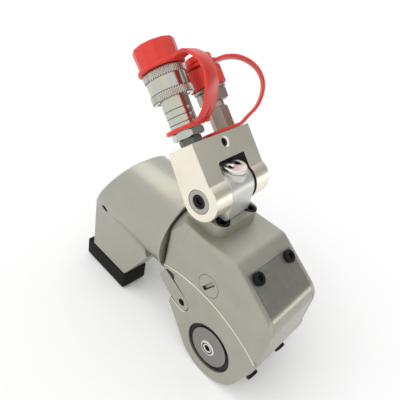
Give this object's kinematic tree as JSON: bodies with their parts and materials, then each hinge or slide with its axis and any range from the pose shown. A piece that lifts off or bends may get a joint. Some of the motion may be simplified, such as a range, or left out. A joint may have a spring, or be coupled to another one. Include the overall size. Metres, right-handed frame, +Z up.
{
  "type": "hydraulic torque wrench",
  "caption": "Square-drive hydraulic torque wrench with splined reaction arm, padded foot, ratchet drive and a swivelling hose manifold with capped quick couplers.",
  "frame": {"origin": "drive axis at the middle of the head's width", "axes": "+X out of the nose, along the piston rod; +Y to the side that the square drive stands out of; +Z up to the hose swivel"},
  "size_m": [0.2135, 0.1026, 0.2469],
  "materials": {
    "blasted_steel": "bead blasted",
    "block_steel": "bead blasted",
    "cover_steel": "satin",
    "turned_steel": "turned",
    "hardened_steel": "ground",
    "black_oxide": "black oxide",
    "spring_steel": "drawn",
    "zinc_plate": "zinc plated",
    "chrome_plate": "polished",
    "bronze": "turned",
    "seal_rubber": "moulded",
    "pad_rubber": "moulded",
    "red_plastic": "moulded"
  },
  "bodies": {
    "head": {"housing": "blasted_steel", "front_cover": "cover_steel", "cover_screws": "black_oxide", "rod_pin_plug": "turned_steel", "cylinder_end_cap": "turned_steel", "end_cap_seal": "seal_rubber", "rod_gland": "bronze", "rod_seal": "seal_rubber", "drive_bushes": "bronze", "bush_seals": "seal_rubber", "swivel_flange": "block_steel", "flange_screws": "black_oxide", "swivel_post": "turned_steel", "swivel_cap": "chrome_plate", "reaction_pawl_spring": "spring_steel"},
    "crank": {"drive_plates": "hardened_steel", "pawl_carrier": "hardened_steel", "carrier_dowels": "turned_steel", "pawl_springs": "spring_steel"},
    "ram": {"piston": "hardened_steel", "piston_seal": "seal_rubber", "piston_nut": "turned_steel", "piston_rod": "turned_steel", "rod_pin": "turned_steel"},
    "ratchet_wheel": {"ratchet": "hardened_steel"},
    "pawl": {"drive_pawl": "hardened_steel"},
    "drive": {"square_drive": "hardened_steel"},
    "retainer": {"drive_retainer": "turned_steel"},
    "button": {"retainer_button": "black_oxide"},
    "holding_pawl": {"reaction_pawl": "hardened_steel", "reaction_pawl_pin": "turned_steel", "near_lever": "turned_steel", "far_lever": "turned_steel"},
    "arm": {"reaction_arm": "blasted_steel", "arm_set_screw": "black_oxide", "reaction_pad": "pad_rubber"},
    "swivel": {"swivel_body": "block_steel"},
    "manifold": {"manifold_block": "block_steel", "tilt_pins": "turned_steel", "passage_plug": "black_oxide", "female_adapter": "black_oxide", "female_body": "zinc_plate", "female_poppet": "zinc_plate", "male_adapter": "zinc_plate", "male_body": "zinc_plate", "male_nipple": "zinc_plate", "male_poppet": "zinc_plate", "female_strap": "red_plastic", "male_strap": "red_plastic"},
    "sleeve": {"female_sleeve": "zinc_plate"},
    "pressure_cap": {"female_cap": "red_plastic"},
    "return_cap": {"male_cap": "red_plastic"}
  },
  "joints": [
    {"name": "crank_swing", "type": "hinge", "parent": "head", "child": "crank", "pos_m": [0, 0, 0], "axis": [0, 1, 0], "range_deg": [0, 24]},
    {"name": "piston_stroke", "type": "slide", "parent": "head", "child": "ram", "axis": [1, 0, 0], "range_m": [0, 0.0255]},
    {"name": "ratchet_turn", "type": "hinge", "parent": "head", "child": "ratchet_wheel", "pos_m": [0, 0, 0], "axis": [0, 1, 0], "range_deg": [0, 24]},
    {"name": "drive_pawl_lift", "type": "slide", "parent": "crank", "child": "pawl", "axis": [0.1045, 0, 0.9945], "range_m": [0, 0.0022], "stiffness_N_per_m": 500, "springref_m": -0.002, "deforming": ["pawl_springs"]},
    {"name": "drive_pull", "type": "slide", "parent": "ratchet_wheel", "child": "drive", "axis": [0, 1, 0], "range_m": [0, 0.07]},
    {"name": "retainer_pull", "type": "slide", "parent": "ratchet_wheel", "child": "retainer", "axis": [0, -1, 0], "range_m": [0, 0.012]},
    {"name": "button_press", "type": "slide", "parent": "retainer", "child": "button", "axis": [0, 1, 0], "range_m": [0, 0.0012], "stiffness_N_per_m": 600, "springref_m": -0.001},
    {"name": "holding_pawl_swing", "type": "hinge", "parent": "head", "child": "holding_pawl", "pos_m": [-0.037, 0, 0.0198], "axis": [0, -1, 0], "range_deg": [-5, 8], "deforming": ["reaction_pawl_spring"]},
    {"name": "arm_slide", "type": "slide", "parent": "head", "child": "arm", "axis": [-1, 0, 0], "range_m": [0, 0.09]},
    {"name": "swivel_turn", "type": "hinge", "parent": "head", "child": "swivel", "pos_m": [-0.0465, 0, 0.1045], "axis": [0, 0, 1], "continuous": true},
    {"name": "manifold_tilt", "type": "hinge", "parent": "swivel", "child": "manifold", "pos_m": [-0.0465, 0, 0.1214], "axis": [-0.0628, 0.998, 0], "range_deg": [-46, 133]},
    {"name": "sleeve_turn", "type": "hinge", "parent": "manifold", "child": "sleeve", "pos_m": [-0.07117, -0.02159, 0.15066], "axis": [-0.6908, -0.0435, 0.7218], "continuous": true},
    {"name": "pressure_cap_pull", "type": "slide", "parent": "manifold", "child": "pressure_cap", "axis": [-0.6908, -0.0435, 0.7218], "range_m": [0, 0.02], "deforming": ["female_strap"]},
    {"name": "return_cap_pull", "type": "slide", "parent": "manifold", "child": "return_cap", "axis": [-0.6908, -0.0435, 0.7218], "range_m": [0, 0.02], "deforming": ["male_strap"]}
  ],
  "couplings": [
    {"joint": "piston_stroke", "follows": "crank_swing", "m_per_rad": 0.060694},
    {"joint": "ratchet_turn", "follows": "crank_swing", "ratio": 1}
  ]
}
